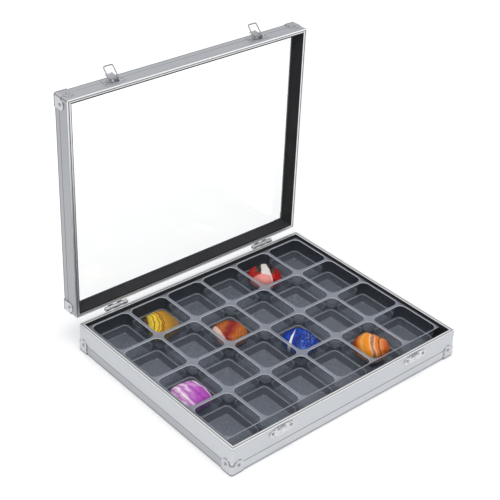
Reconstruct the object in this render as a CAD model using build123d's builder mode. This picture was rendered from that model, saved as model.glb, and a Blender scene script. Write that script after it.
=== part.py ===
"""Mineral specimen box: an aluminium case with a hinged glass lid, a loose cell tray and six polished stones.

Millimetres, +Z up, standing on the lowest faces of its corner caps at Z = 0. The front, with the catches,
faces -Y. The lid is modelled open and upright, and closes by a quarter turn about its hinge pins.
"""

from math import cos, radians, sin, tan
import os

from build123d import *

os.makedirs("parts", exist_ok=True)

# ---- the case ----
case_length = 345.0  # along X, over the rails
case_width = 281.0  # front to back, over the rails
base_height = 35.5
lid_height = 23.5
wall = 4.8  # thickness of the rails
skin = 1.3  # metal round the rails' hollow chamber
corner_radius = 2.5  # upright outer edge of each mitred corner
base_line_height = 12.0  # line pressed along the base's sides, above its underside
lid_line_height = 8.0  # the same line on the lid, from its glass side
line_width = 0.9
line_depth = 0.5
rim_groove_width = 1.4
rim_groove_depth = 0.7
rim_gap = 0.4  # between the rims of the closed case

# ---- panel and pane, held in slots ----
sheet_inset = 1.5  # from the rail's outer side edge to the slot
slot_depth = 2.4
slot_clearance = 0.15
panel_thickness = 3.0
pane_thickness = 2.5

# ---- lining ----
lining_thickness = 1.0
lining_drop = 0.3  # below the rim
lining_clearance = 0.1  # above the panel or pane

# ---- rivets ----
rivet_radius = 1.2
rivet_fit = 0.05
rivet_head_radius = 2.1
rivet_head_height = 0.9
latch_rivet_head_radius = 1.7

# ---- corner caps ----
cap_thickness = 1.0
cap_rivet_in = 9.5  # from the corner, along each side
cap_rivet_up = 10.6  # from the outer side edge
cap_lobe_radius = 6.4
cap_band_width = 4.75  # of the stretch beside the corner
cap_band_height = 12.0
cap_foot_reach = 15.5  # of the straight stretch along the edge
cap_foot_height = 6.5
cap_edge_radius = 0.8

# ---- hinges ----
hinge_inset = 56.7  # from the case's end to the hinge's middle
hinge_length = 32.0
leaf_thickness = 1.0
leaf_height = 17.0  # its lower edge, from the rim
leaf_top = 5.2  # where the leaf bends out to the barrel, from the rim
leaf_bend = 1.0
leaf_rivet_drop = 11.6
leaf_rivet_spread = 20.0
pin_standoff = 4.5  # pin axis behind the case's back
barrel_radius = 2.7
pin_radius = 1.2
pin_clearance = 0.05
pin_overhang = 0.5
knuckle_count = 5
knuckle_gap = 0.25

# ---- catches, on the base's front ----
catch_inset = 69.0  # from the case's end to the catch's and the latch's middle
catch_thickness = 1.0
catch_height = 12.0
catch_waist_length = 19.0
catch_waist_height = 8.0
catch_rivet_spread = 26.0
catch_rivet_drop = 7.5
catch_lobe_radius = 4.6
hook_top = 3.0  # below the rim
hook_end = 8.4  # below the rim
hook_thickness = 0.7
hook_clearance = 0.25  # round the bail's bar

# ---- latches, on the lid's front ----
latch_plate_length = 27.0
latch_plate_top = 6.0  # nearest edge of the plate, from the rim
latch_plate_height = 14.0
latch_plate_thickness = 0.8
latch_plate_radius = 2.0
latch_rivet_spread = 21.0
latch_pivot_drop = 8.5  # lever pin, from the rim
latch_pivot_standoff = 2.3  # lever pin, off the wall
latch_pin_radius = 0.6
latch_pin_overhang = 0.1
ear_radius = 1.3
ear_gap = 0.1  # beside the lever's flanges
lever_width = 10.4
lever_reach = 13.5  # from the lever's pin to its tip
lever_thickness = 0.8
lever_roof = 1.45  # underside of the lever's top, above the pin
lever_roof_start = 1.5
lever_tip_length = 1.5
lever_tip_rise = 1.1
bail_offset = 3.0  # bail pivot, from the lever's pin
wire_radius = 0.7
wire_clearance = 0.3  # between the bail's legs and the lever
bail_stub_bend = 0.9
bail_bar_bend = 1.8
bail_bar_drop = 4.6  # bar of a latched bail, below the base's rim
bail_lean = 135.0  # degrees from pointing at the rim, swung outwards

# ---- tray ----
tray_columns = 6
tray_rows = 4
tray_rim_drop = 2.5  # below the base's rim
tray_side_clearance = 1.5
tray_back_clearance = 2.5
tray_front_gap = 13.0
tray_sheet = 1.0
tray_edge = 2.2
tray_front_edge = 1.2
ridge_width = 4.0
cell_radius = 8.0
cell_draft = 5.0
ledge_depth = 16.5  # below the tray's top
ledge_width = 2.5
recess_radius = 5.0
recess_draft = 7.0
seat_clearance = 0.2  # under what stands loose

# ---- stones: room left at the sides and ends on the cell's floor, height, plan and top rounding ----
yellow_side_room = 1.2
yellow_end_room = 4.2
yellow_height = 20.0
yellow_plan_rounding = 9.0
yellow_top_rounding = 6.0
red_side_room = 0.5
red_end_room = 3.4
red_height = 27.0
red_plan_rounding = 18.0
red_top_rounding = 13.0
carnelian_side_room = 1.2
carnelian_end_room = 4.4
carnelian_height = 20.5
carnelian_plan_rounding = 15.0
carnelian_top_rounding = 11.0
blue_side_room = 0.3
blue_end_room = 2.6
blue_height = 21.0
blue_plan_rounding = 19.0
blue_top_rounding = 12.5
purple_side_room = 0.6
purple_end_room = 3.0
purple_height = 20.0
purple_plan_rounding = 14.0
purple_top_rounding = 11.0
orange_side_room = 0.8
orange_end_room = 4.0
orange_height = 30.0
orange_plan_rounding = 15.0
orange_top_rounding = 13.0
foot_rounding = 6.0
least_flat = 0.5  # left beside a rounding

# each stone's cell (column, row), turn in degrees and sizes
stones = {
    "specimen_yellow_banded": (
        (1, 0), 2.0, yellow_side_room, yellow_end_room,
        yellow_height, yellow_plan_rounding, yellow_top_rounding,
    ),
    "specimen_red_white": (
        (4, 0), -6.0, red_side_room, red_end_room,
        red_height, red_plan_rounding, red_top_rounding,
    ),
    "specimen_carnelian": (
        (2, 1), 5.0, carnelian_side_room, carnelian_end_room,
        carnelian_height, carnelian_plan_rounding, carnelian_top_rounding,
    ),
    "specimen_blue_veined": (
        (3, 2), -4.0, blue_side_room, blue_end_room,
        blue_height, blue_plan_rounding, blue_top_rounding,
    ),
    "specimen_purple_banded": (
        (0, 2), 3.0, purple_side_room, purple_end_room,
        purple_height, purple_plan_rounding, purple_top_rounding,
    ),
    "specimen_orange_banded": (
        (4, 3), -6.0, orange_side_room, orange_end_room,
        orange_height, orange_plan_rounding, orange_top_rounding,
    ),
}

# ---- worked out from the sizes above ----
pin_y = case_width / 2 + pin_standoff
hook_inside = latch_pivot_standoff + wire_radius + hook_clearance
front_reach = hook_inside + hook_thickness
back_reach = pin_standoff + rim_gap / 2 + lid_height + cap_thickness
centre_y = (front_reach - back_reach) / 2  # the base's middle, so that the whole stands about the origin
interior_length = case_length - 2 * wall
interior_width = case_width - 2 * wall
panel_slot = panel_thickness + 2 * slot_clearance
pane_slot = pane_thickness + 2 * slot_clearance
base_floor = sheet_inset + panel_slot - slot_clearance
pane_inside = sheet_inset + pane_slot - slot_clearance

# Each half of the case has its own frame: X along the case, Y towards the hinges, Z from the closed
# side to the rim. The base lies flat, and the open lid stands upright behind it.
base = Plane(origin=(0, centre_y, cap_thickness), x_dir=(1, 0, 0), z_dir=(0, 0, 1))
pin_z = cap_thickness + base_height + rim_gap / 2
lid_rim_y = centre_y + pin_y + rim_gap / 2
lid_middle_z = pin_z + pin_y
lid = Plane(origin=(0, lid_rim_y + lid_height, lid_middle_z), x_dir=(-1, 0, 0), z_dir=(0, -1, 0))
heights = {"base": base_height, "lid": lid_height}


def at(frame, x, y, z):
    """A point given in a frame's own coordinates."""
    return frame.from_local_coords(Vector(x, y, z))


def side_wall(frame, side):
    """Plane on the outer face of one side wall: X along it, Y towards the rim, Z outwards."""
    outward = {
        "front": -frame.y_dir,
        "back": frame.y_dir,
        "left": -frame.x_dir,
        "right": frame.x_dir,
    }[side]
    half_span = case_width / 2 if side in ("front", "back") else case_length / 2
    return Plane(origin=frame.origin + outward * half_span, x_dir=frame.z_dir.cross(outward), z_dir=outward)


def wall_length(side):
    """Length of a side wall over the corners."""
    return case_length if side in ("front", "back") else case_width


def on_wall(frame, side, along, up, out=0.0):
    """Plane parallel to a side wall, at a place on it."""
    face = side_wall(frame, side)
    return Plane(origin=at(face, along, up, out), x_dir=face.x_dir, z_dir=face.z_dir)


def cap_rivet_places(side):
    """Places along a side wall where the corner caps are riveted to it."""
    reach = wall_length(side) / 2 - cap_rivet_in
    return [(-reach, cap_rivet_up), (reach, cap_rivet_up)]


def spread_places(middles, spread, up):
    """A pair of places about each middle, at one height."""
    return [(middle + s * spread / 2, up) for middle in middles for s in (-1, 1)]


hinge_middles = [-(case_length / 2 - hinge_inset), case_length / 2 - hinge_inset]
catch_middles = [-(case_length / 2 - catch_inset), case_length / 2 - catch_inset]
latch_rivet_up = lid_height - latch_plate_top - latch_plate_height / 2
rivet_places = {
    ("base", "front"): spread_places(catch_middles, catch_rivet_spread, base_height - catch_rivet_drop),
    ("base", "back"): spread_places(hinge_middles, leaf_rivet_spread, base_height - leaf_rivet_drop),
    ("lid", "front"): spread_places(catch_middles, latch_rivet_spread, latch_rivet_up),
    ("lid", "back"): spread_places(hinge_middles, leaf_rivet_spread, lid_height - leaf_rivet_drop),
}


def save(part, label):
    """Label one finished piece and write it out."""
    part.label = label
    export_step(part, f"parts/{label}.step")


# ---- rails: a hollow section, mitred at both ends ----
def rail(half, frame, side, slot, line_height):
    """One rail of a rectangular frame, with its sheet slot, pressed line, rim groove and rivet holes."""
    height = heights[half]
    face = side_wall(frame, side)
    span = wall_length(side)
    section = Plane(origin=face.origin, x_dir=face.z_dir, z_dir=face.z_dir.cross(face.y_dir))
    chamber_bottom = sheet_inset + slot + skin
    chamber_top = height - rim_groove_depth - skin
    with BuildPart() as piece:
        with BuildSketch(section):
            with Locations((-wall / 2, height / 2)):
                Rectangle(wall, height)
            with Locations((-wall, sheet_inset + slot / 2)):
                Rectangle(2 * slot_depth, slot, mode=Mode.SUBTRACT)
            with Locations((-wall / 2, (chamber_bottom + chamber_top) / 2)):
                Rectangle(wall - 2 * skin, chamber_top - chamber_bottom, mode=Mode.SUBTRACT)
            with Locations((-wall / 2, height)):
                Rectangle(rim_groove_width, 2 * rim_groove_depth, mode=Mode.SUBTRACT)
            with BuildLine():
                Polyline(
                    (0, line_height - line_width / 2),
                    (-line_depth, line_height),
                    (0, line_height + line_width / 2),
                    close=True,
                )
            make_face(mode=Mode.SUBTRACT)
        extrude(amount=span / 2, both=True)
        for end in (-1, 1):
            along = face.x_dir * end
            corner = Plane(origin=face.origin + along * span / 2, z_dir=face.z_dir - along)
            split(bisect_by=corner, keep=Keep.TOP)
        with BuildSketch(frame):
            RectangleRounded(case_length, case_width, corner_radius)
        extrude(amount=height, mode=Mode.INTERSECT)
        with BuildSketch(face):
            with Locations(*cap_rivet_places(side), *rivet_places.get((half, side), [])):
                Circle(rivet_radius + rivet_fit)
        extrude(amount=-wall, mode=Mode.SUBTRACT)
    save(piece.part, f"{half}_{side}_rail")


for side_name in ("front", "back", "left", "right"):
    rail("base", base, side_name, panel_slot, base_line_height)
    rail("lid", lid, side_name, pane_slot, lid_line_height)


# ---- bottom panel and glass pane ----
def sheet(frame, thickness, label):
    """A sheet held on all four edges in the rails' slots."""
    overlap = 2 * (slot_depth - slot_clearance)
    with BuildPart() as piece:
        with BuildSketch(frame.offset(sheet_inset + slot_clearance)):
            Rectangle(interior_length + overlap, interior_width + overlap)
        extrude(amount=thickness)
    save(piece.part, label)


sheet(base, panel_thickness, "base_bottom_panel")
sheet(lid, pane_thickness, "lid_glass_pane")


# ---- lining: four strips on the inner walls ----
def lining(half, frame, floor):
    """Dark strips from the panel or pane up to just below the rim."""
    low = floor + lining_clearance
    high = heights[half] - lining_drop
    side_length = interior_width - 2 * lining_thickness
    with BuildPart() as strips:
        with BuildSketch(frame.offset(low)):
            for s in (-1, 1):
                with Locations((0, s * (interior_width - lining_thickness) / 2)):
                    Rectangle(interior_length, lining_thickness)
        extrude(amount=high - low)
    with BuildPart() as end_strips:
        with BuildSketch(frame.offset(low)):
            for s in (-1, 1):
                with Locations((s * (interior_length - lining_thickness) / 2, 0)):
                    Rectangle(lining_thickness, side_length)
        extrude(amount=high - low)
    save(Compound([*strips.part.solids(), *end_strips.part.solids()]), f"{half}_lining")


lining("base", base, base_floor)
lining("lid", lid, pane_inside)


# ---- corner caps: pressed round each outer corner, with one lobe on each of three legs ----
def cap_shell(half, frame):
    """A skin round the case's closed side and its edges, which every cap of that half is cut from."""
    with BuildPart() as shell:
        with BuildSketch(frame.offset(-cap_thickness)):
            RectangleRounded(
                case_length + 2 * cap_thickness,
                case_width + 2 * cap_thickness,
                corner_radius + cap_thickness,
            )
        extrude(amount=cap_thickness + cap_rivet_up + cap_lobe_radius)
        underside = shell.faces().sort_by(Axis(frame.origin, frame.z_dir))[0]
        fillet(underside.edges(), cap_edge_radius)
        with BuildSketch(frame):
            RectangleRounded(case_length, case_width, corner_radius)
        extrude(amount=heights[half], mode=Mode.SUBTRACT)
    return shell.part


def lobed_leg(plane, x_inward, y_inward, lobe_up):
    """Outline of one leg: a foot along the edge, a band beside the corner and a lobe round the rivet."""
    with BuildSketch(plane) as leg:
        for length, height in ((cap_foot_reach, cap_foot_height), (cap_band_width, cap_band_height)):
            middle = ((length - cap_thickness) / 2, (height - cap_thickness) / 2)
            with Locations((x_inward * middle[0], y_inward * middle[1])):
                Rectangle(length + cap_thickness, height + cap_thickness)
        with Locations((x_inward * cap_rivet_in, y_inward * lobe_up)):
            Circle(cap_lobe_radius)
    return leg.sketch


def corner_cap(half, frame, shell, x_side, y_side):
    """The cap of one corner, named by the two walls that meet there; it leaves the panel or pane clear."""
    x_sign = 1 if x_side == "right" else -1
    y_sign = 1 if y_side == "back" else -1
    corner = at(frame, x_sign * case_length / 2, y_sign * case_width / 2, 0)
    foot = Plane(origin=corner, x_dir=frame.x_dir, z_dir=frame.z_dir)
    depth = corner_radius + cap_thickness
    with BuildPart() as cap:
        extrude(lobed_leg(foot, -x_sign, -y_sign, cap_rivet_in), amount=-cap_thickness)
        with BuildSketch(frame):
            Rectangle(interior_length, interior_width)
        extrude(amount=-cap_thickness, mode=Mode.SUBTRACT)
        for side in (x_side, y_side):
            face = side_wall(frame, side)
            inward = 1 if (face.origin - corner).dot(face.x_dir) > 0 else -1
            leg_plane = Plane(origin=corner, x_dir=face.x_dir, z_dir=face.z_dir)
            leg = lobed_leg(leg_plane.offset(cap_thickness), inward, 1, cap_rivet_up)
            extrude(leg, amount=-cap_thickness - depth)
            with BuildSketch(leg_plane.offset(cap_thickness)):
                with Locations((inward * cap_rivet_in, cap_rivet_up)):
                    Circle(rivet_radius + rivet_fit)
            extrude(amount=-cap_thickness, mode=Mode.SUBTRACT)
        add(shell, mode=Mode.INTERSECT)
    save(cap.part, f"{half}_corner_cap_{y_side}_{x_side}")


for half_name, half_frame in (("base", base), ("lid", lid)):
    half_shell = cap_shell(half_name, half_frame)
    for y_name in ("front", "back"):
        for x_name in ("left", "right"):
            corner_cap(half_name, half_frame, half_shell, x_name, y_name)


# ---- rivets: a low domed head and a shank through the fitting and the rail ----
def rivets(label, places, fitting_thickness, head_radius):
    """One rivet at each place; a place is a plane on the fitting's outer face."""
    grip = fitting_thickness + wall
    dome_radius = (head_radius**2 + rivet_head_height**2) / (2 * rivet_head_height)
    with BuildPart() as one:
        with BuildSketch(Plane.XZ):
            with BuildLine():
                Polyline(
                    (0, rivet_head_height),
                    (0, -grip),
                    (rivet_radius, -grip),
                    (rivet_radius, 0),
                    (head_radius, 0),
                )
                RadiusArc((head_radius, 0), (0, rivet_head_height), -dome_radius)
            make_face()
        revolve(axis=Axis.Z)
    copies = [place.location * one.part for place in places]
    save(Compound([solid for copy in copies for solid in copy.solids()]), label)


def wall_rivet_places(half, frame, side, thickness):
    """Planes for the rivets that hold a fitting on a side wall."""
    return [on_wall(frame, side, x, y, thickness) for x, y in rivet_places[(half, side)]]


for half_name, half_frame in (("base", base), ("lid", lid)):
    rivets(
        f"{half_name}_cap_rivets",
        [
            on_wall(half_frame, side, x, y, cap_thickness)
            for side in ("front", "back", "left", "right")
            for x, y in cap_rivet_places(side)
        ],
        cap_thickness,
        rivet_head_radius,
    )
    rivets(
        f"hinge_{half_name}_rivets",
        wall_rivet_places(half_name, half_frame, "back", leaf_thickness),
        leaf_thickness,
        rivet_head_radius,
    )
rivets(
    "catch_rivets",
    wall_rivet_places("base", base, "front", catch_thickness),
    catch_thickness,
    rivet_head_radius,
)
rivets(
    "latch_rivets",
    wall_rivet_places("lid", lid, "front", latch_plate_thickness),
    latch_plate_thickness,
    latch_rivet_head_radius,
)


# ---- hinges: two riveted leaves, whose knuckles share one pin ----
knuckle_length = (hinge_length - (knuckle_count - 1) * knuckle_gap) / knuckle_count


def hinge_leaf(half, frame, middle, knuckles, name):
    """A leaf on the back wall, bent out to its own knuckles of the barrel."""
    top = heights[half]
    pin_up = top + rim_gap / 2
    back = case_width / 2
    pin_out = back + pin_standoff
    with BuildPart() as leaf:
        with BuildSketch(side_wall(frame, "back")):
            with Locations((-middle, top - (leaf_height + leaf_top) / 2)):
                Rectangle(hinge_length, leaf_height - leaf_top)
        extrude(amount=leaf_thickness)
        for number in knuckles:
            start = middle - hinge_length / 2 + number * (knuckle_length + knuckle_gap)
            with BuildSketch(Plane(origin=at(frame, start, 0, 0), x_dir=frame.y_dir, z_dir=frame.x_dir)):
                with Locations((pin_out, pin_up)):
                    Circle(barrel_radius)
                with BuildLine():
                    Polyline(
                        (back, top - leaf_top),
                        (back, top - leaf_top - leaf_bend),
                        (back + leaf_thickness, top - leaf_top - leaf_bend),
                        (pin_out + barrel_radius, pin_up),
                        (pin_out, pin_up),
                        close=True,
                    )
                make_face()
            extrude(amount=knuckle_length)
        with BuildSketch(Plane(origin=at(frame, middle, 0, 0), x_dir=frame.y_dir, z_dir=frame.x_dir)):
            with Locations((pin_out, pin_up)):
                Circle(pin_radius + pin_clearance)
        extrude(amount=hinge_length, both=True, mode=Mode.SUBTRACT)
        with BuildSketch(side_wall(frame, "back")):
            with Locations(*rivet_places[(half, "back")]):
                Circle(rivet_radius + rivet_fit)
        extrude(amount=leaf_thickness, mode=Mode.SUBTRACT)
    save(leaf.part, f"hinge_{half}_leaf_{name}")


def hinge_pin(middle, name):
    """The pin, along the whole barrel."""
    start = (middle - hinge_length / 2 - pin_overhang, centre_y + pin_y, pin_z)
    with BuildPart() as pin:
        with BuildSketch(Plane(origin=start, x_dir=(0, 1, 0), z_dir=(1, 0, 0))):
            Circle(pin_radius)
        extrude(amount=hinge_length + 2 * pin_overhang)
    save(pin.part, f"hinge_pin_{name}")


for name, middle in zip(("left", "right"), hinge_middles):
    hinge_leaf("base", base, middle, range(0, knuckle_count, 2), name)
    hinge_leaf("lid", lid, -middle, range(1, knuckle_count, 2), name)
    hinge_pin(middle, name)


# ---- catches: a riveted plate with a hook that opens downwards ----
bail_leg = lever_width / 2 + wire_clearance + wire_radius
hook_width = 2 * (bail_leg - bail_bar_bend)  # the straight run of the bail's bar


def catch(middle, name):
    """A catch on the base's front wall, where a latched bail pulls up under the hook."""
    face = on_wall(base, "front", middle, base_height)
    across = Plane(origin=face.origin, x_dir=face.z_dir, z_dir=face.z_dir.cross(face.y_dir))
    with BuildPart() as piece:
        with BuildSketch(face):
            with Locations((0, -catch_rivet_drop)):
                Rectangle(catch_waist_length, catch_height)
                Rectangle(catch_rivet_spread, catch_waist_height)
                with GridLocations(catch_rivet_spread, 0, 2, 1):
                    Circle(catch_lobe_radius)
                    Circle(rivet_radius + rivet_fit, mode=Mode.SUBTRACT)
        extrude(amount=catch_thickness)
        with BuildSketch(across):
            with BuildLine():
                Polyline(
                    (catch_thickness, -hook_top),
                    (hook_inside + hook_thickness, -hook_top),
                    (hook_inside + hook_thickness, -hook_end),
                    (hook_inside, -hook_end),
                    (hook_inside, -hook_top - hook_thickness),
                    (catch_thickness, -hook_top - hook_thickness),
                    close=True,
                )
            make_face()
        extrude(amount=hook_width / 2, both=True)
    save(piece.part, f"catch_{name}")


# ---- latches: a riveted plate with two ears, a lever on its pin, and a wire bail on the lever ----
def latch(middle, name):
    """A latch on the lid's front wall, its lever lying flat and its bail swung outwards."""
    face = on_wall(lid, "front", -middle, lid_height)
    pivot = at(face, 0, -latch_pivot_drop, latch_pivot_standoff)
    # side view of the lever: X from the rim towards the glass side, Y outwards
    lever_side = Plane(origin=pivot, x_dir=-face.y_dir, z_dir=(-face.y_dir).cross(face.z_dir))
    flange_inside = lever_width / 2 - lever_thickness
    ear_outside = flange_inside - ear_gap
    ear_thickness = latch_plate_thickness

    with BuildPart() as plate:
        with BuildSketch(face):
            with Locations((0, -latch_plate_top - latch_plate_height / 2)):
                RectangleRounded(latch_plate_length, latch_plate_height, latch_plate_radius)
                with GridLocations(latch_rivet_spread, 0, 2, 1):
                    Circle(rivet_radius + rivet_fit, mode=Mode.SUBTRACT)
        extrude(amount=latch_plate_thickness)
        for start in (-ear_outside, ear_outside - ear_thickness):
            with BuildSketch(lever_side.offset(start)):
                Circle(ear_radius)
                with Locations((0, -latch_pivot_standoff / 2)):
                    Rectangle(2 * ear_radius, latch_pivot_standoff)
                Circle(latch_pin_radius + pin_clearance, mode=Mode.SUBTRACT)
            extrude(amount=ear_thickness)
    save(plate.part, f"latch_plate_{name}")

    with BuildPart() as pin:
        with BuildSketch(lever_side):
            Circle(latch_pin_radius)
        extrude(amount=lever_width / 2 - latch_pin_overhang, both=True)
    save(pin.part, f"latch_pin_{name}")

    roof_top = lever_roof + lever_thickness
    with BuildPart() as lever:
        for start in (-lever_width / 2, flange_inside):
            with BuildSketch(lever_side.offset(start)):
                Circle(ear_radius)
                with BuildLine():
                    Polyline(
                        (0, -ear_radius),
                        (bail_offset + ear_radius, -ear_radius),
                        (lever_reach - lever_roof, lever_roof),
                        (0, lever_roof),
                        close=True,
                    )
                make_face()
                Circle(latch_pin_radius + pin_clearance, mode=Mode.SUBTRACT)
                with Locations((bail_offset, 0)):
                    Circle(wire_radius + pin_clearance, mode=Mode.SUBTRACT)
            extrude(amount=lever_thickness)
        with BuildSketch(lever_side):
            with BuildLine():
                Polyline(
                    (lever_roof_start, lever_roof),
                    (lever_reach - lever_tip_length, lever_roof),
                    (lever_reach, lever_roof + lever_tip_rise),
                    (lever_reach - lever_thickness / 2, roof_top + lever_tip_rise),
                    (lever_reach - lever_tip_length, roof_top),
                    (lever_roof_start, roof_top),
                    close=True,
                )
            make_face()
        extrude(amount=lever_width / 2, both=True)
    save(lever.part, f"latch_lever_{name}")

    lean = radians(bail_lean)
    reach = face.y_dir * cos(lean) + face.z_dir * sin(lean)
    bail_pivot = pivot - face.y_dir * bail_offset
    bail_length = latch_pivot_drop + bail_offset + rim_gap + bail_bar_drop
    stub = flange_inside - ear_gap
    swing = Plane(origin=bail_pivot, x_dir=face.x_dir, z_dir=face.x_dir.cross(reach))
    with BuildPart() as bail:
        with BuildLine(swing) as wire:
            FilletPolyline(
                (-stub, 0),
                (-bail_leg, 0),
                (-bail_leg, bail_length),
                (bail_leg, bail_length),
                (bail_leg, 0),
                (stub, 0),
                radius=[bail_stub_bend, bail_bar_bend, bail_bar_bend, bail_stub_bend],
            )
        with BuildSketch(Plane(origin=wire.line @ 0, z_dir=wire.line % 0)):
            Circle(wire_radius)
        sweep()
    save(bail.part, f"latch_bail_{name}")


for name, middle in zip(("left", "right"), catch_middles):
    catch(middle, name)
    latch(middle, name)


# ---- tray: one formed sheet with a grid of drafted cells, each with a ledge and a recessed floor ----
tray_length = interior_length - 2 * (lining_thickness + tray_side_clearance)
tray_back_y = interior_width / 2 - lining_thickness - tray_back_clearance
tray_front_y = -interior_width / 2 + lining_thickness + tray_front_gap
tray_top = base_height - tray_rim_drop
tray_bottom = base_floor + seat_clearance
cell_floor = tray_bottom + tray_sheet
grid_length = tray_length - 2 * tray_edge + ridge_width
grid_width = tray_back_y - tray_front_y - tray_edge - tray_front_edge + ridge_width
pitch_x = grid_length / tray_columns
pitch_y = grid_width / tray_rows
grid_middle_y = tray_front_y + tray_front_edge - ridge_width / 2 + grid_width / 2
recess_depth = tray_top - cell_floor - ledge_depth
ledge_inset = ledge_depth * tan(radians(cell_draft)) + ledge_width
floor_inset = ledge_inset + recess_depth * tan(radians(recess_draft))


def cell_place(column, row):
    """Middle of a cell, in the base's frame; row 0 is at the hinges."""
    return (
        (column - (tray_columns - 1) / 2) * pitch_x,
        grid_middle_y + ((tray_rows - 1) / 2 - row) * pitch_y,
    )


def cell(growth):
    """The space of one cell, grown outwards by the sheet's thickness for the cell's outer shape."""
    mouth = (pitch_x - ridge_width + 2 * growth, pitch_y - ridge_width + 2 * growth)
    recess = (mouth[0] - 2 * ledge_inset, mouth[1] - 2 * ledge_inset)
    with BuildPart() as space:
        with BuildSketch(base.offset(tray_top)):
            RectangleRounded(*mouth, cell_radius + growth)
        extrude(amount=-ledge_depth - growth, taper=cell_draft)
        with BuildSketch(base.offset(tray_top - ledge_depth)):
            RectangleRounded(*recess, recess_radius + growth)
        extrude(amount=-recess_depth - growth, taper=recess_draft)
    return space.part.moved(Location(-base.origin))


cell_space = cell(0)
cell_body = cell(tray_sheet)
cell_points = [cell_place(column, row) for column in range(tray_columns) for row in range(tray_rows)]
with BuildPart() as tray:
    with BuildSketch(base.offset(tray_top)):
        with Locations((0, (tray_back_y + tray_front_y) / 2)):
            Rectangle(tray_length, tray_back_y - tray_front_y)
    extrude(amount=-tray_sheet)
    with Locations(*[at(base, x, y, 0) for x, y in cell_points]):
        add(cell_body)
        add(cell_space, mode=Mode.SUBTRACT)
save(tray.part, "tray")


# ---- stones: rounded tumbled lumps, each on the floor of its own cell ----
def stone(label, cell_index, turn, side_room, end_room, height, plan_rounding, top_rounding):
    """A lump with rounded sides, a crowned top and a small flat to lie on."""
    x, y = cell_place(*cell_index)
    length = pitch_x - ridge_width - 2 * (floor_inset + side_room)
    width = pitch_y - ridge_width - 2 * (floor_inset + end_room)
    plan_rounding = min(plan_rounding, min(length, width) / 2 - least_flat)
    top_rounding = min(top_rounding, plan_rounding - least_flat)
    foot = Plane(origin=at(base, x, y, cell_floor + seat_clearance), x_dir=(1, 0, 0), z_dir=(0, 0, 1))
    with BuildPart() as lump:
        with BuildSketch(foot.rotated((0, 0, turn))):
            RectangleRounded(length, width, plan_rounding)
        extrude(amount=height)
        fillet(lump.edges().group_by(Axis.Z)[-1], top_rounding)
        fillet(lump.edges().group_by(Axis.Z)[0], foot_rounding)
    save(lump.part, label)


for name, sizes in stones.items():
    stone(name, *sizes)
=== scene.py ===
"""Looks of a mineral specimen box: satin aluminium case, clear lid, smoky tray and six polished stones.

Metres, +Z up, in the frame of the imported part. Every piece stands at the origin with its place in its mesh.
"""

import math

import bmesh
import bpy
from mathutils import Euler, Matrix, Vector, noise


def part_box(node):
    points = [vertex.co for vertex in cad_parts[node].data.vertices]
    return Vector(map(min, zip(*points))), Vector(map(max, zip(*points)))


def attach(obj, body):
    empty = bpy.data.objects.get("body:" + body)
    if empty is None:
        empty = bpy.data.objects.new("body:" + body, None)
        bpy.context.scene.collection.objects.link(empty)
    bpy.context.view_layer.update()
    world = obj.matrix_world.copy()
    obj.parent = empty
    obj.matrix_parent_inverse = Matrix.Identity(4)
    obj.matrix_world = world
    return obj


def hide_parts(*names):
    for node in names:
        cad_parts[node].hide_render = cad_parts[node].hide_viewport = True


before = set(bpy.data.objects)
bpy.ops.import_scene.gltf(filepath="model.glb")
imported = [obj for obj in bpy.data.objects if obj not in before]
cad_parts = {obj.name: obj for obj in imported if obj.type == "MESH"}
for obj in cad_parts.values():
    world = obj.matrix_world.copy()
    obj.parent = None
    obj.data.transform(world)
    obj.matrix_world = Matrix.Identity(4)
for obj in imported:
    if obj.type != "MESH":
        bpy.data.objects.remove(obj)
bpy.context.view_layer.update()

bl_info = {
    "name": "Mineral Specimen Box",
    "version": (1, 0, 0),
    "blender": (4, 5, 0),
    "location": "View3D > Sidebar > Specimen Box",
    "description": "Dresses a glass-topped specimen case, its cell tray and its polished stones",
    "category": "Object",
}

MM = 0.001
CORNERS = ("front_left", "front_right", "back_left", "back_right")
HANDS = ("left", "right")
ENDS = ("front", "back")
RAIL_WALL = 4.8 * MM
BASE_LINE_HEIGHT = 12 * MM  # of the pressed line above the base's foot
LID_LINE_HEIGHT = 8 * MM  # of the pressed line below the lid's glass side
MARK_BLUR = 0.12 * MM
# painted highlight: the near-white tone of the rails' and caps' rim strips, where the rim's edge catches the
# light
RIM_HIGHLIGHT = (0.90, 0.905, 0.91)
BOARD_COLOUR = (0.045, 0.047, 0.052)
# painted shade: near black in each rivet head's dimple and outer ring
RIVET_PAINTED_SHADE = (0.02, 0.02, 0.022)
RIVET_HEIGHT = 0.9 * MM
RIVET_SHANK = 2.4 * MM
PATTERN_TURN = math.radians(-42)  # a stone's pattern, from the case's long side


# ---- sizes and colours that a user may change ----
def length_setting(name, description, default):
    """A length."""
    return bpy.props.FloatProperty(
        name=name, description=description, subtype="DISTANCE", unit="LENGTH", default=default
    )


def angle_setting(name, description, degrees):
    """An angle."""
    return bpy.props.FloatProperty(
        name=name, description=description, subtype="ANGLE", unit="ROTATION", default=math.radians(degrees)
    )


def share_setting(name, description, default, lowest=0.0, highest=1.0):
    """A share of a whole."""
    return bpy.props.FloatProperty(
        name=name, description=description, subtype="FACTOR", min=lowest, max=highest, default=default
    )


def colour_setting(name, description, default):
    """A colour."""
    return bpy.props.FloatVectorProperty(
        name=name, description=description, subtype="COLOR", size=3, default=default
    )


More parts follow.
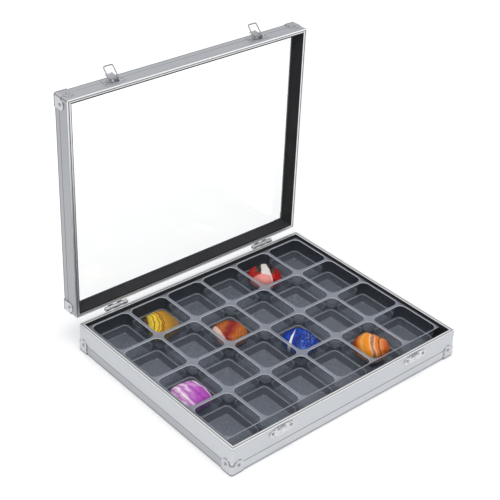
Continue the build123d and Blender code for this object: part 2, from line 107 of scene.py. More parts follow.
class CaseFinish(bpy.types.PropertyGroup):
    """Colours and finish of the metal case."""

    rail_colour: colour_setting("Rail colour", "Colour of the satin aluminium rails", (0.60, 0.615, 0.64))
    cap_colour: colour_setting("Cap colour", "Colour of the pressed corner caps", (0.60, 0.61, 0.63))
    plated_colour: colour_setting(
        "Plated colour", "Colour of the plated latches, catches, hinges and rivets", (0.66, 0.665, 0.68)
    )
    lining_colour: colour_setting(
        "Lining colour", "Colour of the dark strips inside the case", (0.030, 0.030, 0.032)
    )
    rail_roughness: share_setting("Rail roughness", "How satin the rails are", 0.42, lowest=0.05)
    grain_width: length_setting("Grain width", "Width of one brushed line on the rails", 0.25 * MM)
    grain_length: length_setting("Grain length", "Length of one brushed line on the rails", 14 * MM)
    rivet_dimple: length_setting("Rivet dimple", "Depth of the hollow in a rivet's head", 0.7 * MM)
    rivet_dimple_share: share_setting(
        "Dimple width", "Share of the rivet's head that the hollow takes", 0.45, lowest=0.1, highest=0.8
    )


class TrayForm(bpy.types.PropertyGroup):
    """Sizes and colours of the formed tray."""

    columns: bpy.props.IntProperty(name="Columns", description="Cells along the case", default=6)
    rows: bpy.props.IntProperty(name="Rows", description="Cells from front to back", default=4)
    sheet: length_setting("Sheet", "Thickness of the formed sheet", 1.0 * MM)
    ridge: length_setting("Ridge", "Width of the ridge between two cells", 4.0 * MM)
    edge: length_setting("Edge", "Width of the tray's edge beside the end and back cells", 2.2 * MM)
    front_edge: length_setting("Front edge", "Width of the tray's edge in front of the cells", 1.2 * MM)
    cell_radius: length_setting("Cell corner", "Corner radius of a cell's mouth", 8.0 * MM)
    recess_radius: length_setting(
        "Recess corner", "Corner radius of a cell's recess at the ledge", 5.0 * MM
    )
    cell_draft: angle_setting("Cell draft", "Lean of a cell's walls above the ledge", 5.0)
    recess_draft: angle_setting("Recess draft", "Lean of a cell's walls below the ledge", 7.0)
    ledge_depth: length_setting("Ledge depth", "Depth of the ledge below the tray's top", 16.5 * MM)
    ledge_width: length_setting("Ledge width", "Width of the ledge round a cell", 1.3 * MM)
    colour: colour_setting("Tray colour", "Colour of the smoky plastic", (0.18, 0.215, 0.275))
    # painted light: the ridges' tops are painted paler, as lit from above
    crown_painted_light_colour: colour_setting(
        "Crown colour", "Colour of the paler top of the ridges", (0.275, 0.295, 0.345)
    )
    # painted light: the floors, and the walls below the ledge, are painted paler, as lit
    floor_painted_light_colour: colour_setting("Floor colour", "Colour of the cells' floors", (0.22, 0.243, 0.290))
    # painted highlights: the light lines along the ridges' and the ledges' edges
    edge_highlight_colour: colour_setting(
        "Edge colour", "Colour of the light lines on the ridges' and the ledges' edges", (0.88, 0.90, 0.95)
    )
    body_opacity: share_setting(
        "Body opacity", "Share of the light that one face of the drawn walls stops", 0.13
    )
    recess_opacity: share_setting(
        "Recess opacity", "Share of the light that one face of the walls below the ledge stops", 0.26
    )
    floor_opacity: share_setting(
        "Floor opacity", "Share of the light that one face of the cells' floors stops", 0.55
    )
    crown_opacity: share_setting(
        "Crown opacity", "Share of the light that one face of the ridges' top stops", 0.75
    )


class StageSetup(bpy.types.PropertyGroup):
    """Camera, lamp and sky."""

    camera_place: bpy.props.FloatVectorProperty(
        name="Camera place",
        description="Where the camera stands",
        subtype="TRANSLATION",
        unit="LENGTH",
        size=3,
        default=(-0.81145, -0.87682, 0.88947),
    )
    azimuth: angle_setting("Azimuth", "Direction the camera looks from, about the vertical", -41.96)
    elevation: angle_setting("Elevation", "Angle of the camera's view above the horizon", 32.22)
    roll: angle_setting("Roll", "Turn of the camera about its own view", 2.61)
    lens: bpy.props.FloatProperty(
        name="Lens", description="Focal length in millimetres on a 36 mm sensor", default=88.94
    )
    sky_strength: bpy.props.FloatProperty(
        name="Sky strength", description="Strength of the soft light from all round", default=0.55
    )
    lamp_power: bpy.props.FloatProperty(
        name="Lamp power", description="Power of the overhead soft lamp", unit="POWER", default=13.0
    )


# ---- small helpers for node trees ----
def set_inputs(tree, node, inputs):
    """Feeds a node's inputs, by name or number, each from another node's socket or with a plain value."""
    for name, value in inputs.items():
        if isinstance(value, bpy.types.NodeSocket):
            tree.links.new(value, node.inputs[name])
        else:
            node.inputs[name].default_value = value


def add_node(tree, kind, inputs=None, **settings):
    """Adds a node with its settings and its inputs."""
    node = tree.nodes.new(kind)
    for name, value in settings.items():
        setattr(node, name, value)
    set_inputs(tree, node, inputs or {})
    return node


def new_material(name):
    """A material with one Principled shader, and its node tree."""
    material = bpy.data.materials.new(name)
    material.use_nodes = True
    return material, material.node_tree, material.node_tree.nodes["Principled BSDF"]


def object_pattern(tree, place=(0, 0, 0), scale=(1, 1, 1), turn=(0, 0, 0)):
    """Object coordinates, moved, turned and scaled."""
    coordinates = add_node(tree, "ShaderNodeTexCoord").outputs["Object"]
    inputs = {"Vector": coordinates, "Location": place, "Rotation": turn, "Scale": scale}
    return add_node(tree, "ShaderNodeMapping", inputs, vector_type="TEXTURE").outputs["Vector"]


def axes_of(tree, vector):
    """The three axes of a vector."""
    return tuple(add_node(tree, "ShaderNodeSeparateXYZ", {0: vector}).outputs)


def noise_of(tree, vector, scale, detail=2.0, roughness=0.5, distortion=0.0):
    """A noise texture's factor."""
    inputs = {"Vector": vector, "Scale": scale, "Detail": detail, "Roughness": roughness}
    return add_node(tree, "ShaderNodeTexNoise", {**inputs, "Distortion": distortion}).outputs["Fac"]


def grain_of(tree, size, detail=2.0, roughness=0.5):
    """Noise over a whole piece, with grains of one size, or of one size along each axis."""
    sizes = size if isinstance(size, (list, tuple)) else [size] * 3
    return noise_of(tree, object_pattern(tree, scale=sizes), 1.0, detail, roughness)


def ramp(tree, factor, stops):
    """A colour ramp through (place, colour) stops, in rising order."""
    node = add_node(tree, "ShaderNodeValToRGB", {"Fac": factor})
    elements = node.color_ramp.elements
    for place, _ in stops[2:]:
        elements.new(place)
    for element, (place, colour) in zip(elements, stops):
        element.position, element.color = place, (*colour, 1.0)
    return node.outputs["Color"]


def shade_of(colour, share):
    """A colour made darker or lighter."""
    return tuple(min(1.0, channel * share) for channel in colour)


def shaded(tree, factor, colour, darker, lighter, spread=0.2):
    """A colour that runs from a darker to a lighter share of itself."""
    stops = [(0.5 - spread, shade_of(colour, darker)), (0.5 + spread, shade_of(colour, lighter))]
    return ramp(tree, factor, stops)


def level(tree, factor, low, high, to_low=0.0, to_high=1.0):
    """Maps a factor from one range to another, held at the ends."""
    inputs = {"Value": factor, "From Min": low, "From Max": high, "To Min": to_low, "To Max": to_high}
    return add_node(tree, "ShaderNodeMapRange", inputs).outputs["Result"]


def mix_colour(tree, factor, first, second):
    """Mixes two colours, each a socket or a plain colour."""
    first, second = (
        side if isinstance(side, bpy.types.NodeSocket) else (*side, 1.0) for side in (first, second)
    )
    inputs = {"Factor": factor, "A": first, "B": second}
    return add_node(tree, "ShaderNodeMix", inputs, data_type="RGBA").outputs["Result"]


def layered(tree, colour, *layers):
    """Lays (mask, colour) layers over a colour, in order."""
    for mask, tone in layers:
        colour = mix_colour(tree, mask, colour, tone)
    return colour


def maths(tree, operation, *values):
    """A math node on one or two values, each a socket or a number, and a chain of them on more."""
    if len(values) > 2:
        values = (maths(tree, operation, *values[:-1]), values[-1])
    return add_node(tree, "ShaderNodeMath", dict(enumerate(values)), operation=operation).outputs["Value"]


def times(tree, *values):
    """Values multiplied; of masks, where they all meet."""
    return maths(tree, "MULTIPLY", *values)


def highest(tree, *values):
    """The highest of some values; of masks, where any of them is."""
    return maths(tree, "MAXIMUM", *values)


def total(tree, *parts):
    """Adds up parts, each a (value, share) pair, a value or a plain number."""
    result = 0.0
    for part in parts:
        result = maths(tree, "ADD", times(tree, *part) if isinstance(part, tuple) else part, result)
    return result


def strip(tree, value, middle, half, blur):
    """One inside a strip of the value, and zero outside it; the half width may be a socket."""
    away = maths(tree, "ABSOLUTE", maths(tree, "SUBTRACT", value, middle))
    return level(tree, maths(tree, "SUBTRACT", away, half), blur, -blur)


def bump(tree, shader, height, strength, distance):
    """Feeds a height into the shader's normal."""
    node = add_node(tree, "ShaderNodeBump", {"Strength": strength, "Distance": distance, "Height": height})
    tree.links.new(node.outputs["Normal"], shader.inputs["Normal"])


def new_group(name, kinds):
    """A geometry node tree with named inputs beside its geometry: the tree, what it is given and its end."""
    tree = bpy.data.node_groups.new(name, "GeometryNodeTree")
    for label, kind in {"Geometry": "Geometry", **kinds}.items():
        tree.interface.new_socket(label, in_out="INPUT", socket_type=f"NodeSocket{kind}")
    tree.interface.new_socket("Geometry", in_out="OUTPUT", socket_type="NodeSocketGeometry")
    return tree, tree.nodes.new("NodeGroupInput").outputs, tree.nodes.new("NodeGroupOutput")


# ---- small helpers for meshes ----
def dress(material, *names):
    """Gives CAD nodes a material."""
    for name in names:
        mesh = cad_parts[name].data
        mesh.materials.clear()
        mesh.materials.append(material)


def show(mesh, name, material=None, smooth=True):
    """Links a mesh as an object at the origin."""
    if material:
        mesh.materials.clear()
        mesh.materials.append(material)
    if smooth:
        mesh.shade_smooth()
    piece = bpy.data.objects.new(name, mesh)
    bpy.context.scene.collection.objects.link(piece)
    return piece


def mesh_from(work, name):
    """Turns a bmesh into a mesh, and frees it."""
    mesh = bpy.data.meshes.new(name)
    work.to_mesh(mesh)
    work.free()
    return mesh


def plain_mesh(piece):
    """The evaluated mesh of a piece, as a plain mesh; the piece itself is removed."""
    graph = bpy.context.evaluated_depsgraph_get()
    mesh = bpy.data.meshes.new_from_object(piece.evaluated_get(graph))
    bpy.data.objects.remove(piece)
    return mesh


def run_tree(piece, tree, values):
    """Runs a node tree on a piece with its named inputs, and gives the plain mesh."""
    modifier = piece.modifiers.new(tree.name, "NODES")
    modifier.node_group = tree
    for item in tree.interface.items_tree:
        if item.in_out == "INPUT" and item.name in values:
            modifier[item.identifier] = values[item.name]
    return plain_mesh(piece)


def reach_of(vertices):
    """Lowest and highest corners of some vertices."""
    columns = list(zip(*[vertex.co for vertex in vertices]))
    return Vector([min(column) for column in columns]), Vector([max(column) for column in columns])


# ---- finishes of the case ----
def satin_metal(name, colour, roughness, grain, grain_axis=None, marks=()):
    """Satin metal with fine brushed lines along one axis, or an even fine grain with none.

    Each mark is (axis, from, to, colour): a strip of another tone where that coordinate is between the two;
    on the rails and caps these are painted highlights and painted shade.
    """
    material, tree, shader = new_material(name)
    width, length = grain
    sizes = [width] * 3
    if grain_axis is not None:
        sizes[grain_axis] = length
    lines = grain_of(tree, sizes, detail=3.0)
    speckle = grain_of(tree, 0.4 * MM, detail=1.0)
    cloud = grain_of(tree, 45 * MM)
    fine = total(tree, (lines, 0.6), (speckle, 0.4))
    tint = shaded(tree, fine, colour, 0.90, 1.08, spread=0.25)
    layers = [(level(tree, cloud, 0.3, 0.7, 0.0, 0.35), shade_of(colour, 0.94))]
    if marks:
        places = axes_of(tree, object_pattern(tree))
        for axis, start, end, tone in marks:
            mask = strip(tree, places[axis], (start + end) / 2, abs(end - start) / 2, MARK_BLUR)
            layers.append((mask, tone))
    uneven = level(tree, fine, 0.2, 0.8, roughness - 0.07, roughness + 0.07)
    # random worn tone, with the marks' painted highlights and painted shade laid over it
    worn = layered(tree, tint, *layers)
    set_inputs(tree, shader, {"Base Color": worn, "Metallic": 1.0, "Roughness": uneven})
    bump(tree, shader, fine, 0.12, 0.05 * MM)
    return material


def rail_marks(half, colour, foot_share=1.0, upright=False):
    """Strips of another tone on one half's rails, by name.

    They are the foot beyond the pressed line, a painted highlight on the rim, painted shade in its groove
    and along the pressed line, a painted shadow line along the far edge, and on the lid also painted
    shadow on the dark inner lips, across the case for its upright rails.
    """
    low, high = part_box(f"{half}_front_rail")
    if half == "base":
        axis, rim, foot, line = 2, high.z, low.z, low.z + BASE_LINE_HEIGHT
    else:
        axis, rim, foot, line = 1, low.y, high.y, high.y - LID_LINE_HEIGHT
    inward = MM if foot > rim else -MM
    marks = {
        "foot": (axis, line + 0.5 * inward, foot, shade_of(colour, foot_share)),
        # painted highlight: the rim's strip is near white, where its edge catches the light
        "rim": (axis, rim - 0.5 * inward, rim + 0.25 * inward, RIM_HIGHLIGHT),
        # painted shade: a darker strip in the rim's groove
        "groove": (axis, rim + 0.5 * inward, rim + 1.2 * inward, shade_of(colour, 0.62)),
        # painted shade: a dark line along the pressed line's crease
        "pressed line": (axis, line - 0.55 * MM, line + 0.55 * MM, shade_of(colour, 0.52)),
        # painted shadow: a dark line along the far edge, where shade falls at the rail's edge
        "edge": (axis, foot - 1.3 * inward, foot + 0.3 * inward, shade_of(colour, 0.40)),
    }
    if half == "lid":
        across = 0 if upright else 2
        start = low.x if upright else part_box("lid_back_rail")[0].z
        # painted shadow: near-black strips on the lid's inner lips, where the gap beside the lining lies in
        # shade
        for name, place, side in (("first lip", start, 1), ("last lip", high[across], -1)):
            lip = place + side * RAIL_WALL
            marks[name] = (across, lip - side * 0.7 * MM, lip + side * 0.1 * MM, shade_of(colour, 0.06))
    return marks


def felt(name, colour):
    """Matte dark lining with a short nap."""
    material, tree, shader = new_material(name)
    nap = grain_of(tree, 0.35 * MM, detail=4.0, roughness=0.7)
    blend = total(tree, (nap, 0.7), (grain_of(tree, 25 * MM), 0.3))
    tint = shaded(tree, blend, colour, 0.7, 1.35)
    set_inputs(tree, shader, {"Base Color": tint, "Roughness": 0.92, "Specular IOR Level": 0.25})
    bump(tree, shader, nap, 0.25, 0.2 * MM)
    return material


def covered_board(name, colour):
    """The bottom panel's dark grained paper."""
    material, tree, shader = new_material(name)
    grain = grain_of(tree, 0.9 * MM, detail=5.0, roughness=0.65)
    tint = shaded(tree, grain, colour, 0.75, 1.3)
    uneven = level(tree, grain, 0.3, 0.7, 0.55, 0.75)
    set_inputs(tree, shader, {"Base Color": tint, "Roughness": uneven, "Specular IOR Level": 0.25})
    bump(tree, shader, grain, 0.10, 0.2 * MM)
    return material


def clear_pane(name):
    """Clear glass with the faint green of its body, and a few faint smears."""
    material, tree, shader = new_material(name)
    smear = grain_of(tree, (70 * MM, 70 * MM, 35 * MM), detail=3.0)
    set_inputs(tree, shader, {
        "Base Color": (0.985, 0.996, 0.992, 1.0),
        "Transmission Weight": 1.0,
        "IOR": 1.45,
        "Roughness": level(tree, smear, 0.55, 0.85, 0.0, 0.03),
    })
    return material


class SPECIMEN_OT_case(bpy.types.Operator):
    """Finish the rails, corner caps, bottom panel and lining"""

    bl_idname = "specimen.case"
    bl_label = "Case"

    def execute(self, context):
        finish = context.scene.case_finish
        grain = (finish.grain_width, finish.grain_length)
        cap_grain = (0.5 * MM, 0.5 * MM)
        # each group of rails: its half, its sides, its grain axis, a share of the rail colour and one for the
        # foot below the pressed line; the lid's side rails are painted darker (0.68) as painted shade, and
        # the base's side rails are darker below the pressed line
        for half, sides, axis, share, foot_share in (
            ("base", ENDS, 0, 1.0, 1.0),
            ("base", HANDS, 1, 1.0, 0.78),
            ("lid", ENDS, 0, 0.98, 1.0),
            ("lid", HANDS, 2, 0.68, 1.0),
        ):
            tone = shade_of(finish.rail_colour, share)
            marks = rail_marks(half, tone, foot_share, sides == HANDS).values()
            name = f"satin_{half}_{sides[0]}_rails"
            satin = satin_metal(name, tone, finish.rail_roughness, grain, axis, marks)
            dress(satin, *[f"{half}_{side}_rail" for side in sides])
        for half in ("base", "lid"):
            marks = rail_marks(half, finish.cap_colour)
            # the caps keep the rails' painted rim highlight and the painted shadow line along the far edge
            kept = (marks["rim"], marks["edge"])
            pressed = satin_metal(f"pressed_{half}_cap", finish.cap_colour, 0.36, cap_grain, None, kept)
            dress(pressed, *[f"{half}_corner_cap_{corner}" for corner in CORNERS])
        dress(felt("dark_felt", finish.lining_colour), "base_lining", "lid_lining")
        dress(covered_board("covered_board", BOARD_COLOUR), "base_bottom_panel")
        return {"FINISHED"}


class SPECIMEN_OT_pane(bpy.types.Operator):
    """Finish the lid's glass pane"""

    bl_idname = "specimen.pane"
    bl_label = "Glass pane"

    def execute(self, context):
        dress(clear_pane("clear_glass"), "lid_glass_pane")
        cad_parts["lid_glass_pane"].visible_shadow = False
        return {"FINISHED"}


# ---- plated fittings and rivets ----
def plated(name, colour, roughness, hollow=None):
    """Bright plated steel, a little uneven, with painted shade where the piece's own hollow attribute says
    so.
    """
    material, tree, shader = new_material(name)
    cloud = grain_of(tree, 3 * MM, detail=3.0)
    tint = shaded(tree, cloud, colour, 0.86, 1.08)
    if hollow:
        # painted shade: near black where the hollow attribute marks a rivet's dimple and outer ring
        sunk = add_node(tree, "ShaderNodeAttribute", attribute_name="hollow").outputs["Fac"]
        tint = mix_colour(tree, sunk, tint, hollow)
    uneven = level(tree, cloud, 0.3, 0.7, roughness - 0.06, roughness + 0.08)
    set_inputs(tree, shader, {"Base Color": tint, "Metallic": 1.0, "Roughness": uneven})
    bump(tree, shader, cloud, 0.1, 0.1 * MM)
    return material


class SPECIMEN_OT_fittings(bpy.types.Operator):
    """Finish the latches, catches and hinges"""

    bl_idname = "specimen.fittings"
    bl_label = "Latches, catches and hinges"

    def execute(self, context):
        colour = context.scene.case_finish.plated_colour
        bright = plated("bright_plating", colour, 0.2)
        soft = plated("soft_plating", shade_of(colour, 0.96), 0.3)
        wire = plated("drawn_wire", shade_of(colour, 0.42), 0.34)
        dark = plated("dark_plating", shade_of(colour, 0.30), 0.34)
        for piece, coat in {
            "latch_bail": wire,
            "latch_pin": dark,
            "latch_lever": bright,
            "latch_plate": soft,
            "catch": bright,
            "hinge_pin": dark,
            "hinge_base_leaf": soft,
            "hinge_lid_leaf": soft,
        }.items():
            dress(coat, *[f"{piece}_{hand}" for hand in HANDS])
        return {"FINISHED"}


def islands(name):
    """Lowest and highest corners of each separate solid in a CAD node."""
    work = bmesh.new()
    work.from_mesh(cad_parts[name].data)
    bmesh.ops.remove_doubles(work, verts=work.verts, dist=0.001 * MM)
    left = set(work.verts)
    boxes = []
    while left:
        stack = [left.pop()]
        found = list(stack)
        while stack:
            for edge in stack.pop().link_edges:
                fresh = [vertex for vertex in edge.verts if vertex in left]
                left.difference_update(fresh)
                stack += fresh
                found += fresh
        boxes.append(reach_of(found))
    work.free()
    return sorted(boxes, key=lambda box: tuple(round(value, 4) for value in box[0]))


def rivet_axis(low, high, middle):
    """A rivet's axis number and outward sign: its odd side, away from the middle of its case half."""
    sizes = high - low
    odd = max(range(3), key=lambda axis: sum(abs(sizes[axis] - sizes[other]) for other in range(3)))
    return odd, 1 if (low[odd] + high[odd]) / 2 > middle[odd] else -1


def rivet_tree():
    """Geometry nodes: a domed, dimpled head on a short shank, at every point, facing its outward vector.

    The dimple and the head's outer ring are marked in the head's hollow attribute, for painted shade.
    """
    sizes = ("Head Radius", "Head Height", "Shank", "Dimple", "Dimple Share")
    tree, given, end = new_group("Rivet heads", {**dict.fromkeys(sizes, "Float"), "Material": "Material"})
    head = add_node(tree, "GeometryNodeMeshCylinder", {
        "Vertices": 28,
        "Fill Segments": 10,
        "Radius": given["Head Radius"],
        "Depth": given["Shank"],
    })
    x, y, z = axes_of(tree, add_node(tree, "GeometryNodeInputPosition").outputs[0])
    across = maths(tree, "SQRT", maths(tree, "ADD", times(tree, x, x), times(tree, y, y)))
    share = maths(tree, "DIVIDE", across, given["Head Radius"])
    dome = maths(tree, "SQRT", highest(tree, maths(tree, "SUBTRACT", 1.0, times(tree, share, share)), 0.0))
    inside = maths(tree, "SUBTRACT", 1.0, maths(tree, "DIVIDE", share, given["Dimple Share"]))
    eased = {"Value": inside, "From Max": 0.6}
    dimple = add_node(tree, "ShaderNodeMapRange", eased, interpolation_type="SMOOTHSTEP").outputs["Result"]
    rise = times(tree, dome, given["Head Height"])
    lift = maths(tree, "SUBTRACT", rise, times(tree, dimple, given["Dimple"]))
    top = maths(tree, "GREATER_THAN", z, 0.0)
    ring = level(tree, share, 0.78, 1.0)
    raised = maths(tree, "SUBTRACT", times(tree, lift, top), times(tree, given["Shank"], 0.5))
    # marks the dimple and the outer ring for painted shade
    hollow = times(tree, highest(tree, dimple, ring), top)
    stored = {"Name": "hollow", "Geometry": head.outputs["Mesh"], "Value": hollow}
    marked = add_node(tree, "GeometryNodeStoreNamedAttribute", stored, data_type="FLOAT", domain="POINT")
    shaped = add_node(tree, "GeometryNodeSetPosition", {
        "Geometry": marked.outputs["Geometry"],
        "Offset": add_node(tree, "ShaderNodeCombineXYZ", {2: raised}).outputs[0],
    })
    outward = add_node(tree, "GeometryNodeInputNamedAttribute", {"Name": "outward"}, data_type="FLOAT_VECTOR")
    facing = {"Vector": outward.outputs["Attribute"]}
    turn = add_node(tree, "FunctionNodeAlignRotationToVector", facing, axis="Z")
    placed = add_node(tree, "GeometryNodeInstanceOnPoints", {
        "Points": given["Geometry"],
        "Instance": shaped.outputs["Geometry"],
        "Rotation": turn.outputs["Rotation"],
    })
    real = add_node(tree, "GeometryNodeRealizeInstances", {"Geometry": placed.outputs["Instances"]})
    coat = {"Geometry": real.outputs["Geometry"], "Material": given["Material"]}
    set_inputs(tree, end, {"Geometry": add_node(tree, "GeometryNodeSetMaterial", coat).outputs["Geometry"]})
    return tree


class SPECIMEN_OT_rivets(bpy.types.Operator):
    """Set a domed rivet head at every rivet of the case"""

    bl_idname = "specimen.rivets"
    bl_label = "Rivets"

    def execute(self, context):
        finish = context.scene.case_finish
        tree = rivet_tree()
        # the rivets' plating, with painted shade in their dimples and rings
        coat = plated("rivet_plating", shade_of(finish.plated_colour, 0.8), 0.28, RIVET_PAINTED_SHADE)
        groups = {
            "base": ("base_cap_rivets", "catch_rivets", "hinge_base_rivets"),
            "lid": ("lid_cap_rivets", "latch_rivets", "hinge_lid_rivets"),
        }
        for half, names in groups.items():
            corners = [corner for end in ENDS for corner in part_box(f"{half}_{end}_rail")]
            middle = sum(corners, Vector((0, 0, 0))) / 4
            for name in names:
                points = bmesh.new()
                layer = points.verts.layers.float_vector.new("outward")
                for low, high in islands(name):
                    axis, sign = rivet_axis(low, high, middle)
                    radius = (high - low)[(axis + 1) % 3] / 2
                    outward = Vector((0, 0, 0))
                    outward[axis] = sign
                    place = (low + high) / 2
                    place[axis] = (high if sign > 0 else low)[axis] - sign * RIVET_HEIGHT
                    points.verts.new(place)[layer] = outward
                values = {
                    "Head Radius": radius,
                    "Head Height": RIVET_HEIGHT,
                    "Shank": RIVET_SHANK,
                    "Dimple": finish.rivet_dimple,
                    "Dimple Share": finish.rivet_dimple_share,
                    "Material": coat,
                }
                places = show(mesh_from(points, name), f"{name}_places", smooth=False)
                piece = show(run_tree(places, tree, values), name.replace("rivets", "rivet_heads"))
                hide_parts(name)
                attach(piece, half)
        return {"FINISHED"}


# ---- the tray ----
def smoky_plastic(name, form, low, top):
    """Smoky formed plastic: see-through walls and thicker floors.

    The floors, the walls below the ledge and the ridges' tops are painted paler as painted light,
    and the light lines on the ridges' and the ledges' edges are painted highlights.
    """
    material, tree, shader = new_material(name)
    height = axes_of(tree, object_pattern(tree))[2]
    ledge = top - form.ledge_depth
    cell_floor = low + form.sheet
    # painted light: the ridges' tops are painted paler, as lit from above
    crown = level(tree, height, top - 0.9 * MM, top - 0.5 * MM)
    # painted highlights: a light line along the ridges' top edge and one along the ledge's edge
    lip = strip(tree, height, top - 0.32 * MM, 0.24 * MM, 0.07 * MM)
    line = strip(tree, height, ledge - 0.13 * MM, 0.16 * MM, 0.06 * MM)
    # painted light: the floors and the walls below the ledge are painted paler, as lit
    floor = level(tree, height, cell_floor + 1.6 * MM, cell_floor + 0.3 * MM)
    recess = level(tree, height, ledge, ledge - 1.0 * MM)
    edge = highest(tree, lip, times(tree, line, 0.55))
    colour = layered(
        tree,
        shaded(tree, grain_of(tree, 30 * MM, detail=3.0), form.colour, 0.90, 1.10),
        (recess, shade_of(form.floor_painted_light_colour, 1.25)),
        (floor, form.floor_painted_light_colour),
        (crown, form.crown_painted_light_colour),
        (edge, form.edge_highlight_colour),
    )
    ripple = grain_of(tree, (16 * MM, 16 * MM, 30 * MM))
    set_inputs(tree, shader, {
        "Base Color": colour,
        "IOR": 1.55,
        "Coat Weight": 0.3,
        "Coat Roughness": 0.12,
        "Roughness": level(tree, ripple, 0.3, 0.7, 0.18, 0.30),
    })
    bump(tree, shader, ripple, 0.10, 0.25 * MM)
    opacity = highest(
        tree,
        level(tree, recess, 0.0, 1.0, form.body_opacity, form.recess_opacity),
        times(tree, floor, form.floor_opacity),
        times(tree, crown, form.crown_opacity),
        times(tree, edge, 0.9),
    )
    clear = add_node(tree, "ShaderNodeBsdfTransparent").outputs["BSDF"]
    mix = add_node(tree, "ShaderNodeMixShader", {"Fac": opacity, 1: clear, 2: shader.outputs["BSDF"]})
    tree.links.new(mix.outputs[0], tree.nodes["Material Output"].inputs["Surface"])
    return material


def rounded_path(points, radii, steps):
    """Rounds the inner corners of a line of (inset, depth) points with arcs."""
    path = [points[0]]
    for before, corner, after, radius in zip(points, points[1:], points[2:], radii):
        corner = Vector(corner)
        start = Vector(before) - corner
        end = Vector(after) - corner
        half = start.angle(end) / 2
        start.normalize()
        end.normalize()
        reach = radius / math.tan(half)
        centre = corner + (start + end).normalized() * radius / math.sin(half)
        for step in range(steps + 1):
            chord = (corner + start * reach).lerp(corner + end * reach, step / steps) - centre
            path.append(tuple(centre + chord.normalized() * radius))
    path.append(points[-1])
    return path


def corner_turns(steps):
    """Round a rectangle's four corners, counter-clockwise: each corner's signs and its turn from x to y."""
    for sign_x, sign_y, flip in ((1, 1, False), (-1, 1, True), (-1, -1, False), (1, -1, True)):
        for step in range(steps + 1):
            yield sign_x, sign_y, 1 - step / steps if flip else step / steps


def cell_ring(half_x, half_y, radius, depth, steps):
    """Points of a rounded rectangle at one depth."""
    ring = []
    for sign_x, sign_y, turn in corner_turns(steps):
        x = half_x - radius + radius * math.cos(turn * math.pi / 2)
        y = half_y - radius + radius * math.sin(turn * math.pi / 2)
        ring.append((sign_x * x, sign_y * y, -depth))
    return ring


def tile_edge(half_x, half_y, mouth_x, mouth_y, radius, steps):
    """Points of the tile's own rectangle, one for each point of the cell's mouth."""

    def along(half, mouth, turn):
        stretch = 1.0 if turn >= 1 else min(1.0, math.tan(turn * math.pi / 2))
        return mouth - radius + (half - mouth + radius) * stretch

    edge = []
    for sign_x, sign_y, turn in corner_turns(steps):
        edge.append((sign_x * along(half_x, mouth_x, 1 - turn), sign_y * along(half_y, mouth_y, turn), 0.0))
    return edge


def cell_tile(form, pitch, depth):
    """One cell with its share of the ridges round it, as an open mesh."""
    arc_steps = 8
    bend_steps = 4
    mouth_x, mouth_y = (pitch[0] - form.ridge) / 2, (pitch[1] - form.ridge) / 2
    wall_inset = form.ledge_depth * math.tan(form.cell_draft)
    ledge_inset = wall_inset + form.ledge_width
    floor_inset = ledge_inset + (depth - form.ledge_depth) * math.tan(form.recess_draft)
    ridge_lip = 0.6 * MM
    floor_reach = 6 * MM
    least_radius = 1.2 * MM
    profile = rounded_path(
        [
            (-ridge_lip, 0.0),
            (0.0, 0.0),
            (wall_inset, form.ledge_depth),
            (ledge_inset, form.ledge_depth),
            (floor_inset, depth),
            (floor_inset + floor_reach, depth),
        ],
        # the mouth, the ledge's root and its nose, which together are narrower than the ledge, and the floor
        [0.55 * MM, 0.4 * MM, 0.92 * MM, 1.6 * MM],
        bend_steps,
    )

    def corner_of(inset):
        if inset <= wall_inset:
            return form.cell_radius - inset
        if inset <= ledge_inset:
            share = (inset - wall_inset) / form.ledge_width
            return (form.cell_radius - wall_inset) * (1 - share) + form.recess_radius * share
        return max(form.recess_radius - (inset - ledge_inset), least_radius)

    work = bmesh.new()
    rings = [tile_edge(pitch[0] / 2, pitch[1] / 2, mouth_x, mouth_y, form.cell_radius, arc_steps)]
    for inset, down in profile:
        rings.append(cell_ring(mouth_x - inset, mouth_y - inset, corner_of(inset), down, arc_steps))
    rows = [[work.verts.new(point) for point in ring] for ring in rings]
    count = len(rows[0])
    for outer, inner in zip(rows, rows[1:]):
        for index in range(count):
            following = (index + 1) % count
            work.faces.new((outer[index], outer[following], inner[following], inner[index]))
    work.faces.new(rows[-1])
    bmesh.ops.remove_doubles(work, verts=work.verts, dist=0.002 * MM)
    return mesh_from(work, "cell_tile")


def cell_grid_tree():
    """Geometry nodes: the cell on every place of a grid, joined into one sheet."""
    tree, given, end = new_group("Cell grid", {
        **dict.fromkeys(("Columns", "Rows"), "Int"),
        **dict.fromkeys(("Length", "Width", "Join Distance"), "Float"),
        "Place": "Vector",
        "Material": "Material",
    })
    grid = add_node(tree, "GeometryNodeMeshGrid", {
        "Size X": given["Length"],
        "Size Y": given["Width"],
        "Vertices X": given["Columns"],
        "Vertices Y": given["Rows"],
    })
    geometry = add_node(tree, "GeometryNodeInstanceOnPoints", {
        "Points": grid.outputs["Mesh"],
        "Instance": given["Geometry"],
    }).outputs["Instances"]
    for kind, inputs in (
        ("GeometryNodeRealizeInstances", {}),
        ("GeometryNodeMergeByDistance", {"Distance": given["Join Distance"]}),
        ("GeometryNodeSetPosition", {"Offset": given["Place"]}),
        ("GeometryNodeSetMaterial", {"Material": given["Material"]}),
    ):
        geometry = add_node(tree, kind, {"Geometry": geometry, **inputs}).outputs["Geometry"]
    set_inputs(tree, end, {"Geometry": geometry})
    return tree


